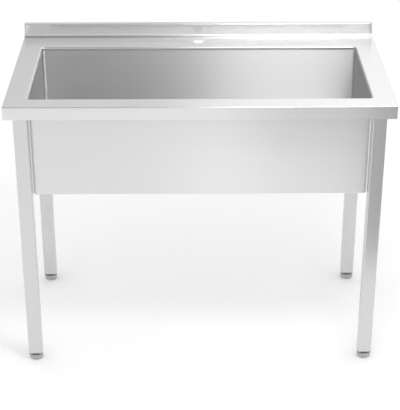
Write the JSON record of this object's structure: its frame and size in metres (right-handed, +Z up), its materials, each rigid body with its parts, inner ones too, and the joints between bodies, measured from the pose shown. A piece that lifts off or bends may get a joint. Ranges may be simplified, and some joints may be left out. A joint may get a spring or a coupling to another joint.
{
  "type": "utility sink",
  "caption": "Free-standing stainless utility sink: one deep bowl in a folded worktop with a low upstand, on four square tube legs with screw-adjusted feet.",
  "frame": {"origin": "middle of the sink's footprint on the floor, with the feet screwed right in", "axes": "+X to the right as seen from the front, +Y back towards the wall, +Z up"},
  "size_m": [1.1, 0.6, 0.89],
  "materials": {
    "brushed_sheet": "satin-brushed stainless sheet",
    "brushed_tube": "satin-brushed stainless square tube",
    "socket_steel": "mill-finish stainless plate and tube",
    "polished_steel": "bright pressed stainless",
    "fastener_steel": "plain stainless fasteners",
    "insert_brass": "turned brass",
    "seal_rubber": "black moulded rubber",
    "outlet_plastic": "grey moulded polypropylene",
    "plug_plastic": "grey moulded polyamide",
    "pad_plastic": "grey moulded polyamide"
  },
  "bodies": {
    "root": {"worktop": "brushed_sheet", "upstand_cap_left": "brushed_sheet", "upstand_cap_right": "brushed_sheet", "bowl": "brushed_sheet", "waste_strainer": "polished_steel", "strainer_screw": "polished_steel", "strainer_seal": "seal_rubber", "tail_seal": "seal_rubber", "waste_tail": "outlet_plastic", "tail_insert": "insert_brass", "leg_bolts": "fastener_steel", "leg_washers": "fastener_steel", "leg_nuts": "fastener_steel", "leg_front_left": "brushed_tube", "leg_socket_front_left": "socket_steel", "leg_plug_front_left": "plug_plastic", "leg_front_right": "brushed_tube", "leg_socket_front_right": "socket_steel", "leg_plug_front_right": "plug_plastic", "leg_rear_left": "brushed_tube", "leg_socket_rear_left": "socket_steel", "leg_plug_rear_left": "plug_plastic", "leg_rear_right": "brushed_tube", "leg_socket_rear_right": "socket_steel", "leg_plug_rear_right": "plug_plastic"},
    "pad_front_left": {"foot_pad_front_left": "pad_plastic"},
    "stud_front_left": {"foot_stud_front_left": "fastener_steel"},
    "pad_front_right": {"foot_pad_front_right": "pad_plastic"},
    "stud_front_right": {"foot_stud_front_right": "fastener_steel"},
    "pad_rear_left": {"foot_pad_rear_left": "pad_plastic"},
    "stud_rear_left": {"foot_stud_rear_left": "fastener_steel"},
    "pad_rear_right": {"foot_pad_rear_right": "pad_plastic"},
    "stud_rear_right": {"foot_stud_rear_right": "fastener_steel"}
  },
  "joints": [
    {"name": "foot_front_left_drop", "type": "slide", "parent": "root", "child": "pad_front_left", "axis": [0, 0, -1], "range_m": [0, 0.018]},
    {"name": "foot_front_left_turn", "type": "hinge", "parent": "pad_front_left", "child": "stud_front_left", "pos_m": [-0.5055, -0.26, 0.024], "axis": [0, 0, 1], "range_deg": [0, 4320]},
    {"name": "foot_front_right_drop", "type": "slide", "parent": "root", "child": "pad_front_right", "axis": [0, 0, -1], "range_m": [0, 0.018]},
    {"name": "foot_front_right_turn", "type": "hinge", "parent": "pad_front_right", "child": "stud_front_right", "pos_m": [0.5055, -0.26, 0.024], "axis": [0, 0, 1], "range_deg": [0, 4320]},
    {"name": "foot_rear_left_drop", "type": "slide", "parent": "root", "child": "pad_rear_left", "axis": [0, 0, -1], "range_m": [0, 0.018]},
    {"name": "foot_rear_left_turn", "type": "hinge", "parent": "pad_rear_left", "child": "stud_rear_left", "pos_m": [-0.5055, 0.222, 0.024], "axis": [0, 0, 1], "range_deg": [0, 4320]},
    {"name": "foot_rear_right_drop", "type": "slide", "parent": "root", "child": "pad_rear_right", "axis": [0, 0, -1], "range_m": [0, 0.018]},
    {"name": "foot_rear_right_turn", "type": "hinge", "parent": "pad_rear_right", "child": "stud_rear_right", "pos_m": [0.5055, 0.222, 0.024], "axis": [0, 0, 1], "range_deg": [0, 4320]}
  ],
  "couplings": [
    {"joint": "foot_front_left_turn", "follows": "foot_front_left_drop", "rad_per_m": 4188.8},
    {"joint": "foot_front_right_turn", "follows": "foot_front_right_drop", "rad_per_m": 4188.8},
    {"joint": "foot_rear_left_turn", "follows": "foot_rear_left_drop", "rad_per_m": 4188.8},
    {"joint": "foot_rear_right_turn", "follows": "foot_rear_right_drop", "rad_per_m": 4188.8}
  ]
}
